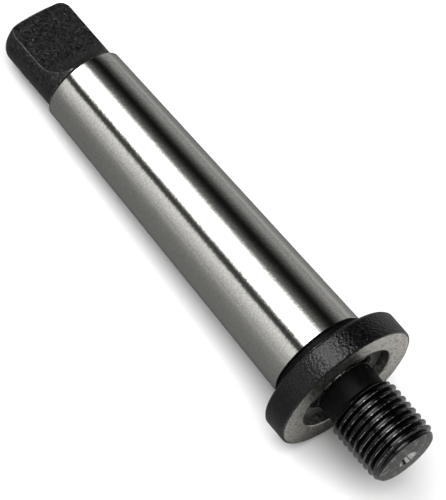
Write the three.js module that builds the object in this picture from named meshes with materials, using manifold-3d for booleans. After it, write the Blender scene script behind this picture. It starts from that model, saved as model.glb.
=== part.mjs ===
// A threaded chuck arbor: a tanged Morse taper 2 shank, a thrust collar and a 1/2"-20 UNF stud.
// The part's axis is X, with +X towards the stud, and the origin is on the axis at the taper's
// gauge plane. The tang's flats face +Z and -Z. Everything is in millimetres.
import * as THREE from "three";
import { mergeVertices } from "three/addons/utils/BufferGeometryUtils.js";
import Module from "manifold-3d";

const wasm = await Module();
wasm.setup();

// Morse taper 2 with a tang, after DIN 228-1 form B
const gaugeDiameter = 17.78;
const taperRate = 0.04995; // change of diameter for each millimetre of length
const taperStartX = 2.4; // the ground taper's large end, with the plain spigot in front of it
const taperEndX = -60.3; // its small end
const tangEndX = -75;
const tangDiameter = 13.4;
const tangThickness = 6.3;
const tangFlatLength = 8.7;
const tangRunOutRadius = 6;
const tangCrown = 0.35; // how far the tang's end stands out at its middle
const tangCornerRadius = 2;
const taperEndChamfer = 0.7;

// The collar and the recess in its front face
const collarBackX = 5;
const collarDiameter = 26.6;
const collarThickness = 4.8;
const collarBackChamfer = { length: 0.45, depth: 0.3 };
const collarFrontRadius = 0.4;
const recessDiameter = 17.8;
const recessDepth = 1.8;
const recessLip = 0.2;
const recessFillet = 1.2;

// The stud, a 1/2"-20 UNF external thread
const threadDiameter = 12.5;
const threadsPerInch = 20;
const pitch = 25.4 / threadsPerInch;
const threadDepth = 0.6134 * pitch;
const crestWidth = pitch / 8;
const rootWidth = pitch / 4;
const neckDiameter = 10.5;
const threadStart = 3.3; // measured from the collar's front face, as the next two are
const threadEnd = 14.2;
const studLength = 15.6;
const tipDiameter = 11;
const tipCrown = 0.3;
const centreHole = { mouth: 3.4, pilot: 1.6, depth: 3.4 };

// The seat of the stud in the shank
const flangeThickness = 1;
const rootDiameter = 10;
const rootLength = 18;
const drillPoint = 3;

const gap = 0.3; // clearance left between pieces that touch
const roundSides = 72;
const threadSides = 30;
const drillSides = 32;
const mergeDistance = 1e-4; // vertices closer than this are the same point

const collarFrontX = collarBackX + collarThickness;
const recessFloorX = collarFrontX - recessDepth;
const spigotRadius = recessDiameter / 2 - gap;
const taperRadius = (x) => (gaugeDiameter + taperRate * x) / 2;

// Points round a quarter or other stretch of a circle, as [x, radius] pairs
function arc(centreX, centreRadius, radius, fromDegrees, toDegrees, steps = 6) {
  return Array.from({ length: steps + 1 }, (_, i) => {
    const angle = THREE.MathUtils.degToRad(
      fromDegrees + ((toDegrees - fromDegrees) * i) / steps,
    );
    return [
      centreX + radius * Math.cos(angle),
      centreRadius + radius * Math.sin(angle),
    ];
  });
}

// A solid of revolution about X, from [x, radius] pairs listed from -X to +X along the outside
function turned(outline, sides = roundSides) {
  const points = outline.map(([x, radius]) => new THREE.Vector2(radius, x));
  return new THREE.LatheGeometry(points, sides).rotateZ(-Math.PI / 2);
}

// A closed geometry as a manifold-3d solid, for cutting and joining
function solid(geometry) {
  const bare = geometry.clone();
  bare.deleteAttribute("normal");
  bare.deleteAttribute("uv");
  const merged = mergeVertices(bare, mergeDistance);
  return new wasm.Manifold(
    new wasm.Mesh({
      numProp: 3,
      vertProperties: merged.getAttribute("position").array,
      triVerts: new Uint32Array(merged.index.array),
    }),
  );
}

function geometryOf(shape) {
  const mesh = shape.getMesh();
  const geometry = new THREE.BufferGeometry();
  geometry.setAttribute(
    "position",
    new THREE.BufferAttribute(new Float32Array(mesh.vertProperties), 3),
  );
  geometry.setIndex([...mesh.triVerts]);
  geometry.computeVertexNormals();
  return geometry;
}

// A 60 degree centre hole with its pilot, which goes in along direction (1 or -1) from startX
function centreDrill(startX, direction) {
  const { mouth, pilot, depth } = centreHole;
  const coneLength = (mouth - pilot) / 2 / Math.tan(Math.PI / 6);
  const lead = 0.5; // the cutter starts this far outside the metal
  const flare = lead * Math.tan(Math.PI / 6);
  const outline = [
    [-lead, 0],
    [-lead, mouth / 2 + flare],
    [coneLength, pilot / 2],
    [depth, pilot / 2],
    [depth + pilot / 4, 0],
  ].map(([along, radius]) => [startX + direction * along, radius]);
  return solid(turned(direction > 0 ? outline : outline.reverse(), drillSides));
}

// The slab cut away above the tang's flat, with the round run-out that a disc cutter leaves
function tangCutter() {
  const flat = tangThickness / 2;
  const runOutX = tangEndX + tangFlatLength;
  const above = tangDiameter;
  const startX = tangEndX - 1; // outside the metal
  const outline = new THREE.Shape();
  outline.moveTo(startX, flat);
  outline.lineTo(runOutX, flat);
  outline.absarc(
    runOutX,
    flat + tangRunOutRadius,
    tangRunOutRadius,
    -Math.PI / 2,
    0,
    false,
  );
  outline.lineTo(runOutX + tangRunOutRadius, above);
  outline.lineTo(startX, above);
  const depth = 2 * tangDiameter;
  const slab = new THREE.ExtrudeGeometry(outline, {
    depth,
    bevelEnabled: false,
    curveSegments: 12,
  });
  slab.translate(0, 0, -depth / 2);
  slab.rotateX(Math.PI / 2);
  return solid(slab);
}

// The Morse taper with its tang, the plain spigot that the collar is pressed on and the stud's
// blind hole
function taperShank() {
  const tangRadius = tangDiameter / 2;
  const largeRadius = taperRadius(taperStartX);
  const cornerX = tangEndX + tangCrown + tangCornerRadius;
  const seatX = recessFloorX - flangeThickness - gap;
  const holeRadius = rootDiameter / 2 + gap;
  const holeEndX = seatX - rootLength;
  const body = solid(
    turned([
      [tangEndX, 0],
      ...arc(cornerX, tangRadius - tangCornerRadius, tangCornerRadius, 180, 90),
      [taperEndX - taperEndChamfer, tangRadius],
      [taperEndX, taperRadius(taperEndX)],
      [taperStartX, largeRadius],
      [taperStartX + largeRadius - spigotRadius, spigotRadius],
      [seatX, spigotRadius],
      [seatX, holeRadius],
      [holeEndX, holeRadius],
      [holeEndX - drillPoint, 0],
    ]),
  );
  const upper = tangCutter();
  const lower = upper.mirror([0, 0, 1]);
  return geometryOf(
    body
      .subtract(upper)
      .subtract(lower)
      .subtract(centreDrill(tangEndX, 1)),
  );
}

// The thrust collar: a ring with a ground front face and an open bore
function collarRing() {
  const radius = collarDiameter / 2;
  const bore = recessDiameter / 2;
  const { length, depth } = collarBackChamfer;
  return turned([
    [collarBackX, bore],
    [collarBackX, radius - depth],
    [collarBackX + length, radius],
    ...arc(
      collarFrontX - collarFrontRadius,
      radius - collarFrontRadius,
      collarFrontRadius,
      90,
      0,
      4,
    ),
    [collarFrontX, bore + recessLip],
    [collarFrontX - recessLip, bore],
    [collarBackX, bore],
  ]);
}

// A right-hand external thread as one closed body that holds fromX to toX. Each row of points
// follows the helix, so after its last side a row goes on as the row one pitch further along.
function threadBody(fromX, toX) {
  const crest = threadDiameter / 2;
  const root = crest - threadDepth;
  const flank = (pitch - crestWidth - rootWidth) / 2;
  const section = [
    [0, root],
    [rootWidth, root],
    [rootWidth + flank, crest],
    [rootWidth + flank + crestWidth, crest],
  ];
  const step = section.length;
  const turns = Math.ceil((toX - fromX) / pitch) + 3;
  const backX = fromX - 1.5 * pitch;
  const lastRow = turns * step;
  const vertices = [];
  for (let row = 0; row <= lastRow; row++) {
    const [offset, radius] = section[row % step];
    for (let side = 0; side < threadSides; side++) {
      const turn = Math.floor(row / step) + side / threadSides;
      const angle = 2 * Math.PI * turn;
      vertices.push(
        backX + offset + pitch * turn,
        radius * Math.cos(angle),
        radius * Math.sin(angle),
      );
    }
  }
  const backCentre = vertices.length / 3;
  vertices.push(backX, 0, 0);
  const frontCentre = vertices.length / 3;
  vertices.push(backX + pitch * (turns + 1), 0, 0);

  const corner = (row, side) =>
    side < threadSides ? row * threadSides + side : (row + step) * threadSides;
  const faces = [];
  for (let side = 0; side < threadSides; side++) {
    const endRow = side < threadSides - 1 ? lastRow : lastRow - step;
    for (let row = 0; row < endRow; row++) {
      const here = corner(row, side);
      const across = corner(row + 1, side + 1);
      faces.push(here, corner(row, side + 1), across);
      faces.push(here, across, corner(row + 1, side));
    }
  }
  const around = Array.from({ length: threadSides }, (_, side) => side);
  const rowsBack = (from) => Array.from({ length: step }, (_, i) => from - i);
  const backLoop = [
    ...around.map((side) => corner(0, side)),
    ...rowsBack(step).map((row) => corner(row, 0)),
  ];
  const frontLoop = [
    ...around.map((side) => corner(lastRow, side)),
    ...rowsBack(lastRow - 1).map((row) => corner(row, threadSides - 1)),
  ];
  backLoop.forEach((index, i) => {
    faces.push(backCentre, backLoop[(i + 1) % backLoop.length], index);
  });
  frontLoop.forEach((index, i) => {
    faces.push(frontCentre, index, frontLoop[(i + 1) % frontLoop.length]);
  });
  const geometry = new THREE.BufferGeometry();
  geometry.setAttribute(
    "position",
    new THREE.BufferAttribute(new Float32Array(vertices), 3),
  );
  geometry.setIndex(faces);
  return solid(geometry);
}

// The stud with its flange, which is the recess's floor, and the plain root held in the shank
function threadedStud() {
  const neck = neckDiameter / 2;
  const crest = threadDiameter / 2;
  const root = rootDiameter / 2;
  const flangeX = recessFloorX - flangeThickness;
  const rootEndX = flangeX - rootLength;
  const rootChamfer = 0.5;
  const startX = collarFrontX + threadStart;
  const tipX = collarFrontX + studLength;
  const runIn = crest - neck;
  const skin = 0.1; // the outline stands this far outside the crests, which the thread itself makes
  const base = solid(
    turned([
      [rootEndX, 0],
      [rootEndX, root - rootChamfer],
      [rootEndX + rootChamfer, root],
      [flangeX, root],
      [flangeX, spigotRadius],
      [recessFloorX, spigotRadius],
      ...arc(
        recessFloorX + recessFillet,
        neck + recessFillet,
        recessFillet,
        180,
        270,
      ),
      [startX + pitch, neck],
      [startX + pitch, 0],
    ]),
  );
  const outline = solid(
    turned([
      [startX, 0],
      [startX, neck],
      [startX + runIn + skin, crest + skin],
      [collarFrontX + threadEnd - skin, crest + skin],
      [tipX - tipCrown, tipDiameter / 2],
      [tipX - tipCrown / 4, tipDiameter / 4],
      [tipX, 0],
    ]),
  );
  const thread = threadBody(startX, tipX).intersect(outline);
  return geometryOf(base.add(thread).subtract(centreDrill(tipX, -1)));
}

const groundSteel = { color: 0xc9c6bf, metalness: 1, roughness: 0.25 };
const blackOxide = { color: 0x1b1b1d, metalness: 0.6, roughness: 0.5 };
const oiledBlackOxide = { color: 0x111113, metalness: 0.6, roughness: 0.35 };

const pieces = [
  ["taper_shank", taperShank(), groundSteel],
  ["collar_ring", collarRing(), blackOxide],
  ["threaded_stud", threadedStud(), oiledBlackOxide],
];

const chuckArbor = new THREE.Group();
for (const [name, geometry, finish] of pieces) {
  const piece = new THREE.Mesh(geometry, new THREE.MeshStandardMaterial(finish));
  piece.name = name;
  chuckArbor.add(piece);
}

export default chuckArbor;
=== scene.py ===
import math

import bmesh
import bpy
from mathutils import Matrix, Vector


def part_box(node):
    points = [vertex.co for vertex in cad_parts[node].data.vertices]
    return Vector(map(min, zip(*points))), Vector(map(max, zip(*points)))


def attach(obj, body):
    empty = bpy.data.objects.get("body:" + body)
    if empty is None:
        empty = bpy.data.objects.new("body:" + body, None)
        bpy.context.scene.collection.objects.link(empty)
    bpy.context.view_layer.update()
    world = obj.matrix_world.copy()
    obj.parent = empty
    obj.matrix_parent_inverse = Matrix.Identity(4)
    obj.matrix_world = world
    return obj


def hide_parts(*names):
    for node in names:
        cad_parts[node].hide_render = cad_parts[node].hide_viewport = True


mm = 0.001
sharpDegrees = 32  # two faces that meet at a steeper angle than this have a sharp edge between them
noiseLow, noiseHigh = 0.3, 0.7  # nearly all of a noise lies between these
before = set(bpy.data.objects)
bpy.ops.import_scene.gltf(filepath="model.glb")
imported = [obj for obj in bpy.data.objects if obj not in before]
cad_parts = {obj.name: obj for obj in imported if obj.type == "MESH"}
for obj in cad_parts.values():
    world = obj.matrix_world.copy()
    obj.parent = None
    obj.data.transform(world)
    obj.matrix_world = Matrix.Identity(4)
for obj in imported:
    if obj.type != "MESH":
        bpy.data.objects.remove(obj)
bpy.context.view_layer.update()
shankLow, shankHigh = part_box("taper_shank")
collarLow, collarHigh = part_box("collar_ring")
studLow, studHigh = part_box("threaded_stud")
print("frame loaded:", ", ".join(sorted(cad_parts)))


def linearColour(hexValue):
    # sRGB hex to the linear RGBA that the shaders take
    def channel(value):
        value /= 255
        return value / 12.92 if value <= 0.04045 else ((value + 0.055) / 1.055) ** 2.4

    parts = [int(hexValue[i : i + 2], 16) for i in (1, 3, 5)]
    return (*[channel(part) for part in parts], 1.0)


def addNode(tree, kind, settings=None, inputs=None):
    # one node with its settings; an input is a value, a socket, or a node whose first output is used
    node = tree.nodes.new(kind)
    for name, value in (settings or {}).items():
        setattr(node, name, value)
    for name, value in (inputs or {}).items():
        if isinstance(value, bpy.types.Node):
            value = value.outputs[0]
        if isinstance(value, bpy.types.NodeSocket):
            tree.links.new(value, node.inputs[name])
        else:
            node.inputs[name].default_value = value
    return node


def circlePoint(x, radius, angle):
    return Vector((x, radius * math.cos(angle), radius * math.sin(angle)))


def arcPoints(centreX, centreRadius, radius, fromDegrees, toDegrees, steps):
    # (x, radius) pairs round part of a circle
    points = []
    for i in range(steps + 1):
        angle = math.radians(fromDegrees + (toDegrees - fromDegrees) * i / steps)
        points.append((centreX + radius * math.cos(angle), centreRadius + radius * math.sin(angle)))
    return points


def turnedRings(outline, sides):
    # rings of points for a turned outline of (x, radius) pairs, in metres
    return [
        [circlePoint(x, radius, 2 * math.pi * side / sides) for side in range(sides)]
        for x, radius in outline
    ]


def joinRings(mesh, first, second, materialIndex):
    for side in range(len(first)):
        after = (side + 1) % len(first)
        face = mesh.faces.new((first[side], first[after], second[after], second[side]))
        face.material_index = materialIndex
        face.smooth = True


def skinRings(mesh, rings, materials, closed=False):
    # quads between neighbouring rings; materials[i] is the slot of the band after ring i
    made = [[mesh.verts.new(point) for point in ring] for ring in rings]
    following = made[1:] + made[:1] if closed else made[1:]
    for band, (first, second) in enumerate(zip(made, following)):
        joinRings(mesh, first, second, materials[band])
    return made


def closeRing(mesh, ring, centre, materialIndex):
    # a fan from a ring to a point on the axis
    point = mesh.verts.new(centre)
    for side in range(len(ring)):
        face = mesh.faces.new((ring[side], ring[(side + 1) % len(ring)], point))
        face.material_index = materialIndex
        face.smooth = True


def finishPiece(name, mesh, materials, nodeName):
    bmesh.ops.recalc_face_normals(mesh, faces=mesh.faces[:])
    data = bpy.data.meshes.new(name)
    mesh.to_mesh(data)
    mesh.free()
    for material in materials:
        data.materials.append(material)
    data.set_sharp_from_angle(angle=math.radians(sharpDegrees))
    piece = bpy.data.objects.new(name, data)
    bpy.context.scene.collection.objects.link(piece)
    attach(piece, "root")
    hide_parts(nodeName)
    print(f"{name}: {len(data.vertices)} points")


def newMaterial(name):
    material = bpy.data.materials.new(name)
    material.use_nodes = True
    tree = material.node_tree
    tree.nodes.clear()
    return material, tree


def turnedCoordinates(tree, alongMm, roundMm):
    # object coordinates scaled so that a noise is alongMm long on the axis and roundMm across it
    place = addNode(tree, "ShaderNodeTexCoord")
    stretch = (1 / (alongMm * mm), 1 / (roundMm * mm), 1 / (roundMm * mm))
    return addNode(
        tree,
        "ShaderNodeVectorMath",
        {"operation": "MULTIPLY"},
        {0: place.outputs["Object"], 1: stretch},
    )


def edgeWear(tree, widthMm, sharpness):
    # 1 on edges, where a rounded normal leaves the true one, and 0 elsewhere
    rounded = addNode(tree, "ShaderNodeBevel", {"samples": 6}, {"Radius": widthMm * mm})
    true = addNode(tree, "ShaderNodeNewGeometry")
    match = addNode(
        tree,
        "ShaderNodeVectorMath",
        {"operation": "DOT_PRODUCT"},
        {0: rounded, 1: true.outputs["Normal"]},
    )
    limits = {0: match.outputs["Value"], 1: 1 - sharpness, 2: 1 - 2 * sharpness}
    return addNode(tree, "ShaderNodeMapRange", inputs=limits)


# Cylindrically ground tool steel. The wheel leaves fine rings round the axis, so reflections
# run straight along the taper and their edges look slightly furred. The marks of a real wheel
# are about 0.02 mm apart, too fine to show, so they are drawn coarser.
groundSteelSettings = {
    "colour": "#d4d3ce",
    "shade": "#bebdb7",
    "shadeLevels": (0.35, 0.65),  # of the grain, from all shade to all colour
    "roughness": 0.09,
    "roughnessShares": (0.8, 1.25),  # in the cleanest and the most smudged places
    "markMm": 0.3,
    "markLengthMm": 1.2,
    "markDepthMm": 0.022,
    "grainMm": 0.22,
    "smudgeMm": 4.0,
    "stretch": 2,  # grain and smudges are this much longer round the part than along it
}


def groundSteel():
    material, tree = newMaterial("groundToolSteel")
    s = groundSteelSettings
    markPlace = turnedCoordinates(tree, s["markMm"], s["markLengthMm"])
    marks = addNode(tree, "ShaderNodeTexNoise", inputs={"Vector": markPlace, "Scale": 1, "Detail": 3})
    grainPlace = turnedCoordinates(tree, s["grainMm"], s["grainMm"] * s["stretch"])
    grain = addNode(tree, "ShaderNodeTexNoise", inputs={"Vector": grainPlace, "Scale": 1, "Detail": 2})
    smudgePlace = turnedCoordinates(tree, s["smudgeMm"], s["smudgeMm"] * s["stretch"])
    smudges = addNode(tree, "ShaderNodeTexNoise", inputs={"Vector": smudgePlace, "Scale": 1, "Detail": 3})
    low, high = s["shadeLevels"]
    lit = addNode(tree, "ShaderNodeMapRange", inputs={0: grain, 1: low, 2: high})
    tone = addNode(
        tree,
        "ShaderNodeMix",
        {"data_type": "RGBA"},
        {0: lit, 6: linearColour(s["shade"]), 7: linearColour(s["colour"])},
    )
    smoothest, roughest = [s["roughness"] * share for share in s["roughnessShares"]]
    dull = addNode(
        tree,
        "ShaderNodeMapRange",
        inputs={0: smudges, 1: noiseLow, 2: noiseHigh, 3: smoothest, 4: roughest},
    )
    relief = addNode(tree, "ShaderNodeBump", inputs={"Height": marks, "Distance": s["markDepthMm"] * mm})
    steel = addNode(
        tree,
        "ShaderNodeBsdfPrincipled",
        inputs={"Base Color": tone.outputs[2], "Metallic": 1.0, "Roughness": dull, "Normal": relief},
    )
    addNode(tree, "ShaderNodeOutputMaterial", inputs={"Surface": steel})
    return material


# Black oxide on turned steel: a thin charcoal skin over short broken tool marks, so its
# highlight sparkles. Handling has rubbed it through to grey steel on the edges and in specks.
blackOxideSettings = {
    "dark": "#020202",
    "light": "#070708",
    "lightLevels": (0.35, 0.7),  # of the mottle, from all dark to all light
    "bare": "#8c8a84",
    "roughness": 0.14,
    "roughnessShares": (0.75, 1.3),
    "specular": 0.36,
    "mottleMm": 1.1,
    "markMm": 0.34,
    "markLengthMm": 0.55,
    "markDepthMm": 0.17,
    "streak": 0.02,  # how bare the marks' tops are
    "streakLevels": (0.55, 0.68),
    "speck": 0.6,  # how bare the specks are
    "speckMm": 0.5,
    "speckStretch": 1.6,
    "speckLevel": 0.76,  # of its noise; a higher one leaves fewer specks
    "speckFade": 0.05,
    "wear": 0.9,  # how bare the edges are
    "wearMm": 0.25,
    "wearLevels": (0.48, 0.58),  # of the mottle, which breaks the wear up
    "wearSharpness": 0.03,
}


def blackOxide(name, changes=None):
    material, tree = newMaterial(name)
    s = blackOxideSettings | (changes or {})
    mottlePlace = turnedCoordinates(tree, s["mottleMm"], s["mottleMm"])
    mottle = addNode(tree, "ShaderNodeTexNoise", inputs={"Vector": mottlePlace, "Scale": 1, "Detail": 5})
    markPlace = turnedCoordinates(tree, s["markMm"], s["markLengthMm"])
    marks = addNode(tree, "ShaderNodeTexNoise", inputs={"Vector": markPlace, "Scale": 1, "Detail": 3})
    speckPlace = turnedCoordinates(tree, s["speckMm"], s["speckMm"] * s["speckStretch"])
    specks = addNode(tree, "ShaderNodeTexNoise", inputs={"Vector": speckPlace, "Scale": 1, "Detail": 1})
    low, high = s["lightLevels"]
    lit = addNode(tree, "ShaderNodeMapRange", inputs={0: mottle, 1: low, 2: high})
    skin = addNode(
        tree,
        "ShaderNodeMix",
        {"data_type": "RGBA"},
        {0: lit, 6: linearColour(s["dark"]), 7: linearColour(s["light"])},
    )
    low, high = s["speckLevel"], s["speckLevel"] + s["speckFade"]
    spots = addNode(tree, "ShaderNodeMapRange", inputs={0: specks, 1: low, 2: high, 4: s["speck"]})
    low, high = s["streakLevels"]
    streaks = addNode(tree, "ShaderNodeMapRange", inputs={0: marks, 1: low, 2: high, 4: s["streak"]})
    bare = addNode(tree, "ShaderNodeMath", {"operation": "MAXIMUM"}, {0: spots, 1: streaks})
    if s["wear"]:
        edges = edgeWear(tree, s["wearMm"], s["wearSharpness"])
        low, high = s["wearLevels"]
        broken = addNode(tree, "ShaderNodeMapRange", inputs={0: mottle, 1: low, 2: high, 4: s["wear"]})
        worn = addNode(tree, "ShaderNodeMath", {"operation": "MULTIPLY"}, {0: edges, 1: broken})
        bare = addNode(tree, "ShaderNodeMath", {"operation": "MAXIMUM"}, {0: bare, 1: worn})
    colour = addNode(
        tree,
        "ShaderNodeMix",
        {"data_type": "RGBA"},
        {0: bare, 6: skin.outputs[2], 7: linearColour(s["bare"])},
    )
    smoothest, roughest = [s["roughness"] * share for share in s["roughnessShares"]]
    dull = addNode(
        tree,
        "ShaderNodeMapRange",
        inputs={0: mottle, 1: noiseLow, 2: noiseHigh, 3: smoothest, 4: roughest},
    )
    relief = addNode(tree, "ShaderNodeBump", inputs={"Height": marks, "Distance": s["markDepthMm"] * mm})
    steel = addNode(
        tree,
        "ShaderNodeBsdfPrincipled",
        inputs={
            "Base Color": colour.outputs[2],
            "Metallic": bare,
            "Roughness": dull,
            "Specular IOR Level": s["specular"],
            "Normal": relief,
        },
    )
    addNode(tree, "ShaderNodeOutputMaterial", inputs={"Surface": steel})
    return material


# The collar's front, faced on a grinder: grey steel with fine rings round the axis, so light
# fans out from the middle, and dark pinholes where the oil has stained it. The rings are drawn
# coarser than the wheel's own.
groundFaceSettings = {
    "colour": "#c9c6bc",
    "stain": "#55534d",
    "stainLevels": (0.47, 0.68),
    "stainStrength": 0.85,
    "roughness": 0.33,
    "roughnessShares": (0.85, 1.2),
    "ringMm": 0.24,
    "ringDepthMm": 0.006,
    "grainMm": 0.4,
    "grainDepthMm": 0.02,
    "patchMm": 2.2,
}


def groundFace():
    material, tree = newMaterial("groundCollarFace")
    s = groundFaceSettings
    place = addNode(tree, "ShaderNodeTexCoord")
    flat = addNode(
        tree,
        "ShaderNodeVectorMath",
        {"operation": "MULTIPLY"},
        {0: place.outputs["Object"], 1: (0, 1, 1)},
    )
    distance = addNode(tree, "ShaderNodeVectorMath", {"operation": "LENGTH"}, {0: flat})
    rings = addNode(
        tree,
        "ShaderNodeTexNoise",
        {"noise_dimensions": "1D"},
        {"W": distance.outputs["Value"], "Scale": 1 / (s["ringMm"] * mm), "Detail": 3},
    )
    grainPlace = turnedCoordinates(tree, s["grainMm"], s["grainMm"])
    grain = addNode(tree, "ShaderNodeTexNoise", inputs={"Vector": grainPlace, "Scale": 1, "Detail": 4})
    patchPlace = turnedCoordinates(tree, s["patchMm"], s["patchMm"])
    patches = addNode(tree, "ShaderNodeTexNoise", inputs={"Vector": patchPlace, "Scale": 1, "Detail": 4})
    low, high = s["stainLevels"]
    stained = addNode(
        tree, "ShaderNodeMapRange", inputs={0: grain, 1: low, 2: high, 4: s["stainStrength"]}
    )
    tone = addNode(
        tree,
        "ShaderNodeMix",
        {"data_type": "RGBA"},
        {0: stained, 6: linearColour(s["colour"]), 7: linearColour(s["stain"])},
    )
    smoothest, roughest = [s["roughness"] * share for share in s["roughnessShares"]]
    dull = addNode(
        tree,
        "ShaderNodeMapRange",
        inputs={0: patches, 1: noiseLow, 2: noiseHigh, 3: smoothest, 4: roughest},
    )
    pits = addNode(tree, "ShaderNodeBump", inputs={"Height": grain, "Distance": s["grainDepthMm"] * mm})
    relief = addNode(
        tree,
        "ShaderNodeBump",
        inputs={"Height": rings, "Distance": s["ringDepthMm"] * mm, "Normal": pits},
    )
    steel = addNode(
        tree,
        "ShaderNodeBsdfPrincipled",
        inputs={"Base Color": tone.outputs[2], "Metallic": 1.0, "Roughness": dull, "Normal": relief},
    )
    addNode(tree, "ShaderNodeOutputMaterial", inputs={"Surface": steel})
    return material


groundSteelMaterial = groundSteel()
groundFaceMaterial = groundFace()
blackOxideMaterial = blackOxide("blackOxideSteel")

# wet with oil, which darkens it and fills the tool marks
oiledBlackMaterial = blackOxide(
    "oiledBlackOxide",
    {
        "dark": "#010101",
        "light": "#050505",
        "roughness": 0.18,
        "markDepthMm": 0.03,
        "streak": 0.0,
        "wear": 0,
    },
)

# the thread's crests, burnished by what has been screwed on, so greyer and broken by bare streaks
burnishedMaterial = blackOxide(
    "burnishedBlackOxide",
    {
        "dark": "#080808",
        "light": "#1c1c1b",
        "roughness": 0.2,
        "speckLevel": 0.55,
        "markDepthMm": 0.06,
        "streak": 0.4,
        "wear": 0,
    },
)

# in corners that nothing rubs, so dull and nearly without a highlight
sootyBlackMaterial = blackOxide(
    "sootyBlackOxide",
    {
        "light": "#0a0a0a",
        "roughness": 0.5,
        "specular": 0.12,
        "markDepthMm": 0.01,
        "streak": 0.0,
        "wear": 0,
    },
)

# left as milled before the bath, so lighter and more mottled
tangScaleMaterial = blackOxide(
    "blackOxideTang",
    {
        "dark": "#040404",
        "light": "#1b1b1b",
        "roughness": 0.36,
        "mottleMm": 0.5,
        "speckMm": 0.3,
        "speckLevel": 0.71,
        "markDepthMm": 0.06,
        "streak": 0.08,
        "wearMm": 0.4,
        "wear": 1.0,
    },
)

# the recess: a dull grey mottle, painted far lighter than the oxide as painted light inside the shaded
# recess
recessPaintedLightMaterial = blackOxide(
    "recessPaintedLightGrey",
    {
        "dark": "#141514",
        "light": "#6c6e69",
        "roughness": 0.42,
        "mottleMm": 0.7,
        "markDepthMm": 0.06,
        "streak": 0.1,
        "wear": 0,
    },
)

# the stud's end, rubbed grey by handling
studEndMaterial = blackOxide(
    "rubbedBlackOxide",
    {
        "dark": "#030303",
        "light": "#3a3935",
        "roughness": 0.36,
        "specular": 0.3,
        "mottleMm": 0.7,
        "speckLevel": 0.58,
        "markDepthMm": 0.12,
        "streak": 0.45,
    },
)
print("materials made")


# sizes are in millimetres, here and in the other pieces
taperShank = {
    "sides": 256,
    "gaugeRadius": 8.89,
    "taperRate": 0.024975,  # change of radius for each millimetre
    "largeEnd": 2.4,  # from the gauge plane
    "smallEnd": 14.7,  # from the tang's end, as the flats' length is
    "endChamfer": 0.7,
    "tangRadius": 6.7,
    "tangHalfThickness": 3.15,
    "tangFlatLength": 8.7,
    "runOutRadius": 6.0,
    "cornerRadius": 2.0,
    "crown": 0.35,
    "endRounding": 0.5,
    "edgeRounding": 0.22,
    "stationGap": 0.6,  # between sections along the flats
    "stationLimit": 0.05,  # no two sections are closer than this at the chamfer
    "faceStep": 0.03,  # the step up to the taper slopes this far either way
    "lengthwise": 40,
    "capSteps": 8,
    "spigotRadius": 8.6,
    "spigotSeat": 0.3,  # how much wider the spigot is inside the collar
    "seatEdge": 0.05,
    "spigotFillet": 0.55,
    "filletSteps": 6,
    "stepLengths": (0.08, 0.32),  # from the taper's large end, to the step's edge and its foot
    "stepEdge": 0.06,
    "toolMarkStart": 0.4,
    "toolMarkGap": 0.75,  # between the last mark and the collar
    "toolMarkPitch": 0.36,
    "toolMarkDepth": 0.05,
    "pointsPerMark": 8,
}

# the centre holes in the tang's and the stud's ends are alike
centreHole = {
    "mouthRadius": 1.7,
    "pilotRadius": 0.8,
    "coneDegrees": 60,
    "pilotDepth": 3.4,
    "drillPoint": 0.4,
    "edgeLength": 0.05,  # the mouth's broken edge
    "edgeDepth": 0.03,
}


def holeOutline():
    # (depth, radius) pairs from the mouth inwards
    s = centreHole
    cone = (s["mouthRadius"] - s["pilotRadius"]) / math.tan(math.radians(s["coneDegrees"] / 2))
    return [
        (s["edgeLength"], s["mouthRadius"] - s["edgeDepth"]),
        (cone, s["pilotRadius"]),
        (s["pilotDepth"], s["pilotRadius"]),
    ]


def smoothMinimum(a, b, width):
    # the lower of two values, with the corner between them rounded over width
    blend = max(width - abs(a - b), 0.0) / width
    return min(a, b) - blend * blend * width / 4


def tangRadius(x):
    # turned radius of the tang, x in mm from its end
    s = taperShank
    corner = s["crown"] + s["cornerRadius"]
    chamferStart = s["smallEnd"] - s["endChamfer"]
    if x >= corner:
        return s["tangRadius"] + max(x - chamferStart, 0.0)
    reach = math.sqrt(max(s["cornerRadius"] ** 2 - (corner - x) ** 2, 0.0))
    return s["tangRadius"] - s["cornerRadius"] + reach


def flatHeight(x):
    # height of the milled flat above the axis, x in mm from the tang's end
    s = taperShank
    past = x - s["tangFlatLength"]
    if past <= 0:
        rounding = s["endRounding"]
        short = max(rounding - (x - s["crown"]), 0.0)
        return s["tangHalfThickness"] - rounding + math.sqrt(max(rounding**2 - short**2, 0.0))
    if past >= s["runOutRadius"]:
        return math.inf
    rise = s["runOutRadius"] - math.sqrt(s["runOutRadius"] ** 2 - past**2)
    return s["tangHalfThickness"] + rise


def tangAngles(x):
    # angles round the section, closer together where the flat meets the round side
    s = taperShank
    radius, height = tangRadius(x), flatHeight(x)
    steepest, spread = math.radians(80), math.radians(5)
    corner = math.asin(min(height / radius, math.sin(steepest)))
    stops = [0.0, corner - spread, corner + spread, math.pi / 2]
    counts = [s["sides"] // 16, s["sides"] // 16, s["sides"] // 8]
    quarter = []
    for first, last, count in zip(stops, stops[1:], counts):
        quarter += [first + (last - first) * i / count for i in range(count)]
    half = quarter + [math.pi / 2] + [math.pi - angle for angle in reversed(quarter[1:])]
    return half + [angle + math.pi for angle in half]


def tangSection(x):
    s = taperShank
    radius, height = tangRadius(x), flatHeight(x)
    ring = []
    for angle in tangAngles(x):
        lift = abs(math.sin(angle))
        flat = height / lift if lift else math.inf
        reach = smoothMinimum(radius, flat, s["edgeRounding"])
        ring.append((reach, angle))
    return ring


def taperRadius(xMm):
    return taperShank["gaugeRadius"] + taperShank["taperRate"] * xMm


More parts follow.
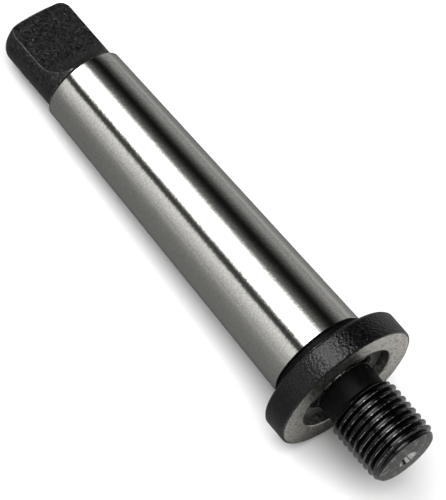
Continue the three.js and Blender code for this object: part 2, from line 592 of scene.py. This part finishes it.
def spigotOutline():
    # the plain band in front of the taper: a step down, coarse tool marks and a fillet
    s = taperShank
    startX, radius, fillet = s["largeEnd"], s["spigotRadius"], s["spigotFillet"]
    collarX = collarLow.x / mm
    seat = radius + s["spigotSeat"]
    edge, foot = s["stepLengths"]
    outline = [(startX + edge, taperRadius(startX) - s["stepEdge"]), (startX + foot, radius)]
    marksEnd = collarX - s["toolMarkGap"]
    x = startX + s["toolMarkStart"]
    while x < marksEnd:
        swing = math.sin(2 * math.pi * (x - startX) / s["toolMarkPitch"])
        outline.append((x, radius - s["toolMarkDepth"] * (0.5 + 0.5 * swing)))
        x += s["toolMarkPitch"] / s["pointsPerMark"]
    outline += arcPoints(collarX - fillet, radius + fillet, fillet, 270, 330, s["filletSteps"])
    outline += [(collarX + s["seatEdge"], seat), (shankHigh.x / mm, seat)]
    return outline


def tangStations():
    # where the tang has a section, in mm from its end: every 8 degrees round its corner, evenly
    # along the flats, every 4 degrees of their run-out, and at both ends of the chamfer
    s = taperShank
    flatStart, flatEnd = s["crown"] + s["cornerRadius"], s["tangFlatLength"]
    chamferStart = s["smallEnd"] - s["endChamfer"]
    lastX = s["smallEnd"] - s["stationLimit"]
    along = int((flatEnd - flatStart) / s["stationGap"])
    stations = [s["crown"] + s["cornerRadius"] * (1 - math.cos(math.radians(a))) for a in range(2, 91, 8)]
    stations += [flatStart + s["stationGap"] * i for i in range(1, along + 1)]
    stations += [flatEnd + s["runOutRadius"] * math.sin(math.radians(a)) for a in range(0, 76, 4)]
    stations = [x for x in stations if abs(x - chamferStart) > s["stationLimit"] and x < lastX]
    return sorted(stations + [chamferStart, s["smallEnd"] - s["faceStep"]])


def makeTaperShank():
    s = taperShank
    mouth = centreHole["mouthRadius"]
    crownAtHole = s["crown"] * (mouth / s["tangRadius"]) ** 2
    endX = shankLow.x / mm - crownAtHole
    mesh = bmesh.new()
    bright, sooty, tang = 0, 1, 2

    stations = tangStations()
    rings = [
        [circlePoint((endX + x) * mm, reach * mm, angle) for reach, angle in tangSection(x)]
        for x in stations
    ]
    slots = [tang] * len(rings)
    angles = [angle for _, angle in tangSection(stations[-1])]

    smallX = endX + s["smallEnd"]
    largeX = s["largeEnd"]
    outline = [(smallX + s["faceStep"], taperRadius(smallX), bright)]
    for i in range(1, s["lengthwise"] + 1):
        x = smallX + (largeX - smallX) * i / s["lengthwise"]
        outline.append((x, taperRadius(x), bright))
    outline += [(x, radius, sooty) for x, radius in spigotOutline()]
    for x, radius, slot in outline:
        rings.append([circlePoint(x * mm, radius * mm, angle) for angle in angles])
        slots.append(slot)
    made = skinRings(mesh, rings, slots)

    # the crowned end of the tang, narrowing to the centre hole
    endRing = tangSection(stations[0])
    previous = made[0]
    for step in range(1, s["capSteps"] + 1):
        ring = []
        for reach, angle in endRing:
            radius = reach + (mouth - reach) * step / s["capSteps"]
            depth = s["crown"] * (radius / s["tangRadius"]) ** 2
            ring.append(mesh.verts.new(circlePoint((endX + depth) * mm, radius * mm, angle)))
        joinRings(mesh, previous, ring, tang)
        previous = ring
    for depth, radius in holeOutline():
        holeX = (endX + crownAtHole + depth) * mm
        ring = [mesh.verts.new(circlePoint(holeX, radius * mm, angle)) for _, angle in endRing]
        joinRings(mesh, previous, ring, bright)
        previous = ring
    drillX = (endX + crownAtHole + centreHole["pilotDepth"] + centreHole["drillPoint"]) * mm
    closeRing(mesh, previous, (drillX, 0, 0), sooty)
    closeRing(mesh, made[-1], (shankHigh.x, 0, 0), sooty)
    slotMaterials = [groundSteelMaterial, sootyBlackMaterial, tangScaleMaterial]
    finishPiece("taperShank", mesh, slotMaterials, "taper_shank")


makeTaperShank()


collarRing = {
    "sides": 256,
    "backChamferLength": 0.45,
    "backChamferDepth": 0.3,
    "edgeSoftness": 0.07,
    "frontRadius": 0.4,
    "frontSteps": 8,
    "boreRadius": 8.9,
    "lip": 0.15,  # the bore's broken edge
    "fit": 0.02,  # how far the ring stands off the spigot at its back
}


def makeCollarRing():
    s = collarRing
    backX, frontX = collarLow.x / mm, collarHigh.x / mm
    radius = collarHigh.z / mm
    black, ground, litRecess = 0, 1, 2
    soft = s["edgeSoftness"]
    chamferX, chamferRadius = backX + s["backChamferLength"], radius - s["backChamferDepth"]
    rounding = s["frontRadius"]
    front = arcPoints(frontX - rounding, radius - rounding, rounding, 90, 0, s["frontSteps"])
    outline = [
        (backX, s["boreRadius"] + s["fit"], black),
        (backX, chamferRadius - soft, black),
        (backX + soft, chamferRadius + soft / 2, black),
        (chamferX - soft, radius - soft / 2, black),
        (chamferX + soft, radius, black),
        *[(x, r, black) for x, r in front[:-1]],
        (*front[-1], ground),
        (frontX, (radius + s["boreRadius"]) / 2, ground),
        (frontX, s["boreRadius"] + s["lip"], ground),
        # the bore, painted lighter to stand in for light inside the recess
        (frontX - s["lip"], s["boreRadius"], litRecess),
    ]
    mesh = bmesh.new()
    rings = turnedRings([(x * mm, r * mm) for x, r, _ in outline], s["sides"])
    skinRings(mesh, rings, [slot for _, _, slot in outline], closed=True)
    slotMaterials = [blackOxideMaterial, groundFaceMaterial, recessPaintedLightMaterial]
    finishPiece("collarRing", mesh, slotMaterials, "collar_ring")


makeCollarRing()


threadedStud = {
    "sides": 120,
    "pitch": 25.4 / 20,
    "perPitch": 16,
    "crestRadius": 6.25,
    "threadDepth": 0.779,
    "crestFlat": 0.125,  # shares of the pitch
    "rootFlat": 0.25,
    "leadTurns": 1.25,  # the helix starts this far behind the run-in and is clamped to it
    "spareTurns": 2,
    "neckRadius": 5.25,
    "runInStart": 3.3,  # from the collar's front face
    "chamferStart": 14.2,
    "tipRadius": 5.5,
    "tipCrown": 0.3,
    "tipSteps": 6,
    "fillet": 1.2,
    "filletSteps": 12,
    "bareSteps": 2,  # of the fillet, at the neck, left bare by the tool
    "flangeRadius": 8.88,
    "flangeThickness": 1.0,
    "flangeEdge": 0.1,
    "recessDepth": 1.8,
    "rootRadius": 5.0,
    "rootChamfer": 0.5,
    "weldDistance": 1e-6,  # in metres, for the points that the clamping lays on each other
}


def threadRadius(share):
    # radius across one pitch, with share 0.5 on the crest: a flat crest, straight flanks, a flat root
    s = threadedStud
    away = abs(2 * (share % 1.0) - 1)
    flank = 1 - s["crestFlat"] - s["rootFlat"]
    fall = min(max((away - s["crestFlat"]) / flank, 0.0), 1.0)
    return s["crestRadius"] - s["threadDepth"] * fall


def tipX():
    # the middle of the crowned tip, where it would be without its centre hole
    s = threadedStud
    crownAtHole = s["tipCrown"] * (centreHole["mouthRadius"] / s["tipRadius"]) ** 2
    return (studHigh.x - collarHigh.x) / mm + crownAtHole


def studEnvelope(x):
    # the most that the blank's radius can be, x in mm from the collar's front face
    s = threadedStud
    tipStart = tipX() - s["tipCrown"]
    runIn = s["neckRadius"] + max(x - s["runInStart"], 0.0)
    slope = (s["crestRadius"] - s["tipRadius"]) / (tipStart - s["chamferStart"])
    chamfer = s["crestRadius"] - slope * max(x - s["chamferStart"], 0.0)
    return min(runIn, chamfer)


def addThread(mesh, frontX, startX, endX, flankSlot, crestSlot):
    # rows of points follow the helix, so each crest runs along the mesh; both ends are clamped flat
    s = threadedStud
    rowsPerTurn = s["perPitch"]
    turns = math.ceil((endX - startX) / s["pitch"]) + s["spareTurns"]
    firstX = startX - s["leadTurns"] * s["pitch"]
    rows = []
    for row in range(turns * rowsPerTurn + 1):
        line = []
        for side in range(s["sides"]):
            turn = row / rowsPerTurn + side / s["sides"]
            x = min(max(firstX + s["pitch"] * turn, startX), endX)
            radius = min(threadRadius(row / rowsPerTurn), studEnvelope(x))
            angle = 2 * math.pi * side / s["sides"]
            line.append(mesh.verts.new(circlePoint((frontX + x) * mm, radius * mm, angle)))
        rows.append(line)
    for row in range(len(rows) - 1):
        for side in range(s["sides"]):
            after = side + 1
            nextRow = row
            if after == s["sides"]:
                after, nextRow = 0, row + rowsPerTurn
            if nextRow + 1 >= len(rows):
                continue
            near, far = rows[row], rows[row + 1]
            nearNext, farNext = rows[nextRow], rows[nextRow + 1]
            face = mesh.faces.new((near[side], nearNext[after], farNext[after], far[side]))
            onCrest = row % rowsPerTurn in (rowsPerTurn // 2 - 1, rowsPerTurn // 2)
            face.material_index = crestSlot if onCrest else flankSlot
            face.smooth = True


def makeThreadedStud():
    s = threadedStud
    frontX = collarHigh.x / mm
    oiled, rubbed, bright, sooty, litRecess, burnished = range(6)
    floorX, bend = -s["recessDepth"], s["fillet"]
    rootEndX = (studLow.x - collarHigh.x) / mm
    startX, endX = s["runInStart"], tipX() - s["tipCrown"]
    fillet = arcPoints(floorX + bend, s["neckRadius"] + bend, bend, 180, 270, s["filletSteps"])
    bareStart = len(fillet) - 1 - s["bareSteps"]
    outline = [
        (rootEndX, s["rootRadius"] - s["rootChamfer"], sooty),
        (rootEndX + s["rootChamfer"], s["rootRadius"], sooty),
        (floorX - s["flangeThickness"], s["rootRadius"], sooty),
        (floorX - s["flangeThickness"], s["flangeRadius"], sooty),
        (floorX - s["flangeEdge"], s["flangeRadius"], sooty),
        # the recess floor, painted lighter to stand in for light inside the recess
        (floorX, s["flangeRadius"] - s["flangeEdge"], litRecess),
        *[(x, r, oiled) for x, r in fillet[:bareStart]],
        *[(x, r, bright) for x, r in fillet[bareStart:-1]],
        (*fillet[-1], sooty),
        (startX, s["neckRadius"], oiled),
    ]
    mesh = bmesh.new()
    rings = turnedRings([((frontX + x) * mm, r * mm) for x, r, _ in outline], s["sides"])
    made = skinRings(mesh, rings, [slot for _, _, slot in outline])
    closeRing(mesh, made[0], ((frontX + rootEndX) * mm, 0, 0), oiled)
    addThread(mesh, frontX, startX, endX, oiled, burnished)

    mouth, hole = centreHole["mouthRadius"], holeOutline()
    tip = []
    for step in range(s["tipSteps"] + 1):
        radius = s["tipRadius"] + (mouth - s["tipRadius"]) * step / s["tipSteps"]
        tip.append((tipX() - s["tipCrown"] * (radius / s["tipRadius"]) ** 2, radius))
    mouthX = tip[-1][0]
    drillX = mouthX - centreHole["pilotDepth"] - centreHole["drillPoint"]
    tip += [(mouthX - depth, radius) for depth, radius in hole]
    rings = turnedRings([((frontX + x) * mm, r * mm) for x, r in tip], s["sides"])
    made = skinRings(mesh, rings, [rubbed] * s["tipSteps"] + [bright] * len(hole))
    closeRing(mesh, made[-1], ((frontX + drillX) * mm, 0, 0), oiled)
    bmesh.ops.remove_doubles(mesh, verts=mesh.verts[:], dist=s["weldDistance"])
    slotMaterials = [
        oiledBlackMaterial,
        studEndMaterial,
        groundSteelMaterial,
        sootyBlackMaterial,
        recessPaintedLightMaterial,
        burnishedMaterial,
    ]
    finishPiece("threadedStud", mesh, slotMaterials, "threaded_stud")


makeThreadedStud()


# degrees and millimetres; the azimuth is from -Y towards +X
cameraSettings = {
    "azimuth": 35.34,
    "elevation": 55.86,
    "roll": 18.85,
    "distance": 646.9,
    "aim": (-18.59, -5.18, 8.27),
    "lens": 288,
}


def makeCamera():
    s = cameraSettings
    azimuth, elevation = math.radians(s["azimuth"]), math.radians(s["elevation"])
    back = Vector(
        (
            math.sin(azimuth) * math.cos(elevation),
            -math.cos(azimuth) * math.cos(elevation),
            math.sin(elevation),
        )
    )
    data = bpy.data.cameras.new("camera")
    data.lens = s["lens"]
    data.sensor_width = 36
    data.clip_start, data.clip_end = 0.01, 20
    camera = bpy.data.objects.new("camera", data)
    level = (-back).to_track_quat("-Z", "Y").to_matrix().to_4x4()
    roll = Matrix.Rotation(math.radians(s["roll"]), 4, "Z")
    place = Vector(s["aim"]) * mm + back * s["distance"] * mm
    camera.matrix_world = Matrix.Translation(place) @ level @ roll
    bpy.context.scene.collection.objects.link(camera)
    bpy.context.scene.camera = camera


makeCamera()


def makePlane(name, halfSize):
    mesh = bmesh.new()
    bmesh.ops.create_grid(mesh, x_segments=1, y_segments=1, size=halfSize)
    data = bpy.data.meshes.new(name)
    mesh.to_mesh(data)
    mesh.free()
    plane = bpy.data.objects.new(name, data)
    bpy.context.scene.collection.objects.link(plane)
    return plane


floorSettings = {
    "halfSize": 3.0,  # in metres
    "seen": "#f4f4f4",
    "near": "#676767",  # painted shade in reflections, darkest within nearMm of the axis
    "far": "#9c9c9c",  # reflected beyond farMm
    "nearMm": 12,
    "farMm": 120,
}


def makeFloor():
    # the part lies on its collar and on the small end of its taper
    s = floorSettings
    back = Vector((collarLow.x + collarRing["backChamferLength"] * mm, 0, collarLow.z))
    smallX = shankLow.x + taperShank["smallEnd"] * mm
    small = Vector((smallX, 0, -taperRadius(smallX / mm) * mm))
    slope = math.atan2(small.z - back.z, back.x - small.x)
    floor = makePlane("floor", s["halfSize"])
    floor.matrix_world = Matrix.Translation(back) @ Matrix.Rotation(slope, 4, "Y")
    # a clean white behind the part; in reflections a grey with painted shade, darkest beside the part's
    # axis
    material, tree = newMaterial("paleBoard")
    place = addNode(tree, "ShaderNodeTexCoord")
    split = addNode(tree, "ShaderNodeSeparateXYZ", inputs={0: place.outputs["Object"]})
    beside = addNode(tree, "ShaderNodeMath", {"operation": "ABSOLUTE"}, {0: split.outputs["Y"]})
    away = addNode(
        tree, "ShaderNodeMapRange", inputs={0: beside, 1: s["nearMm"] * mm, 2: s["farMm"] * mm}
    )
    reflected = addNode(
        tree,
        "ShaderNodeMix",
        {"data_type": "RGBA"},
        {0: away, 6: linearColour(s["near"]), 7: linearColour(s["far"])},
    )
    path = addNode(tree, "ShaderNodeLightPath")
    tone = addNode(
        tree,
        "ShaderNodeMix",
        {"data_type": "RGBA"},
        {
            0: path.outputs["Is Glossy Ray"],
            6: linearColour(s["seen"]),
            7: reflected.outputs[2],
        },
    )
    board = addNode(tree, "ShaderNodeBsdfDiffuse", inputs={"Color": tone.outputs[2]})
    addNode(tree, "ShaderNodeOutputMaterial", inputs={"Surface": board})
    floor.data.materials.append(material)
    return floor


cardSettings = {
    "colour": "#b4b4b4",
    "halfSize": 0.15,  # in metres
    "startMm": 12.5,  # in front of the gauge plane
    "liftMm": 0.1,
}


def makeCard(floor):
    # a white card in front of the collar shows only in reflections and brightens the ground face
    s = cardSettings
    card = makePlane("card", s["halfSize"])
    along = s["startMm"] * mm - floor.location.x + s["halfSize"]
    card.matrix_world = floor.matrix_world @ Matrix.Translation((along, 0, s["liftMm"] * mm))
    card.visible_camera = False
    card.visible_diffuse = False
    card.visible_shadow = False
    material, tree = newMaterial("whiteCard")
    paper = addNode(tree, "ShaderNodeBsdfDiffuse", inputs={"Color": linearColour(s["colour"])})
    addNode(tree, "ShaderNodeOutputMaterial", inputs={"Surface": paper})
    card.data.materials.append(material)


# angles in degrees, as for the camera
fillSettings = {
    "energy": 1.4,
    "softness": 40,
    "azimuth": 76,
    "elevation": 66,
}


def makeFill():
    # a wide soft lamp, higher than the camera and to its right, that lightens the floor's shadow
    s = fillSettings
    azimuth, elevation = math.radians(s["azimuth"]), math.radians(s["elevation"])
    level = math.cos(elevation)
    towards = Vector((math.sin(azimuth) * level, -math.cos(azimuth) * level, math.sin(elevation)))
    lamp = bpy.data.lights.new("fill", "SUN")
    lamp.energy = s["energy"]
    lamp.angle = math.radians(s["softness"])
    fill = bpy.data.objects.new("fill", lamp)
    fill.rotation_euler = towards.to_track_quat("Z", "Y").to_euler()
    fill.visible_glossy = False
    bpy.context.scene.collection.objects.link(fill)


studio = {
    "turn": 29.0,  # degrees from straight up to the bands' zero, which lies on the -Y side
    "roomLimit": 0.6,  # light above this fades out towards both ends of the part's axis
    "softboxEnds": (-0.9, -0.6, 0.0, 0.35),  # the X of the directions where it starts and stops
    "strength": 1.0,
}

# brightness of the studio round the part's axis, by degrees from that zero, positive towards +Y
studioBands = [
    (-90, 0.3),  # the room on the camera's side, down to the board
    (-60, 0.54),
    (-47, 0.8),  # a pale wall
    (-34, 1.05),
    (-29, 0.85),
    (-26, 0.1),  # the dark gap between the wall and the softbox
    (-17, 0.04),
    (-12, 0.3),
    (-8, 2.6),
    (0, 5.0),  # the softbox
    (26, 5.0),
    (34, 1.3),
    (41, 0.25),
    (50, 0.095),
    (57, 0.03),
    (66, 0.006),  # a black flag beside the softbox
    (75, 0.02),
    (83, 0.09),
    (92, 0.18),
    (102, 0.38),  # the room behind
    (112, 0.38),
    (150, 0.4),
]


def makeWorld():
    world = bpy.data.worlds.new("studio")
    bpy.context.scene.world = world
    world.use_nodes = True
    tree = world.node_tree
    tree.nodes.clear()
    place = addNode(tree, "ShaderNodeTexCoord")
    split = addNode(tree, "ShaderNodeSeparateXYZ", inputs={0: place.outputs["Generated"]})
    angle = addNode(
        tree,
        "ShaderNodeMath",
        {"operation": "ARCTAN2"},
        {0: split.outputs["Y"], 1: split.outputs["Z"]},
    )
    turned = addNode(
        tree, "ShaderNodeMath", {"operation": "ADD"}, {0: angle, 1: math.radians(studio["turn"])}
    )
    wrapped = addNode(
        tree, "ShaderNodeMath", {"operation": "WRAP"}, {0: turned, 1: math.pi, 2: -math.pi}
    )
    share = addNode(tree, "ShaderNodeMapRange", inputs={0: wrapped, 1: -math.pi, 2: math.pi})

    # the ramp runs once round the axis and holds the bands
    ramp = addNode(tree, "ShaderNodeValToRGB", inputs={"Fac": share})
    points = ramp.color_ramp.elements
    while len(points) > 1:
        points.remove(points[0])
    points[0].position = 0.0
    points[0].color = (studioBands[0][1],) * 3 + (1,)
    for degrees, brightness in studioBands:
        point = points.new((degrees + 180) / 360)
        point.color = (brightness, brightness, brightness, 1)

    # the bright part of the bands fades out at the softbox's ends, and the rest doesn't
    room = addNode(
        tree, "ShaderNodeMath", {"operation": "MINIMUM"}, {0: ramp, 1: studio["roomLimit"]}
    )
    softbox = addNode(tree, "ShaderNodeMath", {"operation": "SUBTRACT"}, {0: ramp, 1: room})
    backStart, backFull, frontFull, frontEnd = studio["softboxEnds"]
    smooth = {"interpolation_type": "SMOOTHSTEP"}
    back = addNode(
        tree, "ShaderNodeMapRange", smooth, {0: split.outputs["X"], 1: backStart, 2: backFull}
    )
    front = addNode(
        tree, "ShaderNodeMapRange", smooth, {0: split.outputs["X"], 1: frontEnd, 2: frontFull}
    )
    ends = addNode(tree, "ShaderNodeMath", {"operation": "MULTIPLY"}, {0: back, 1: front})
    cut = addNode(tree, "ShaderNodeMath", {"operation": "MULTIPLY"}, {0: softbox, 1: ends})
    level = addNode(tree, "ShaderNodeMath", {"operation": "ADD"}, {0: room, 1: cut})

    # the camera itself sees plain white behind the part
    path = addNode(tree, "ShaderNodeLightPath")
    lit = addNode(tree, "ShaderNodeBackground", inputs={"Color": level, "Strength": studio["strength"]})
    seen = addNode(
        tree, "ShaderNodeBackground", inputs={"Color": (1, 1, 1, 1), "Strength": studio["strength"]}
    )
    choice = addNode(
        tree, "ShaderNodeMixShader", inputs={0: path.outputs["Is Camera Ray"], 1: lit, 2: seen}
    )
    addNode(tree, "ShaderNodeOutputWorld", inputs={"Surface": choice})


makeCard(makeFloor())
makeFill()
makeWorld()
bpy.context.scene.view_settings.view_transform = "Standard"
print("camera, floor and light placed")
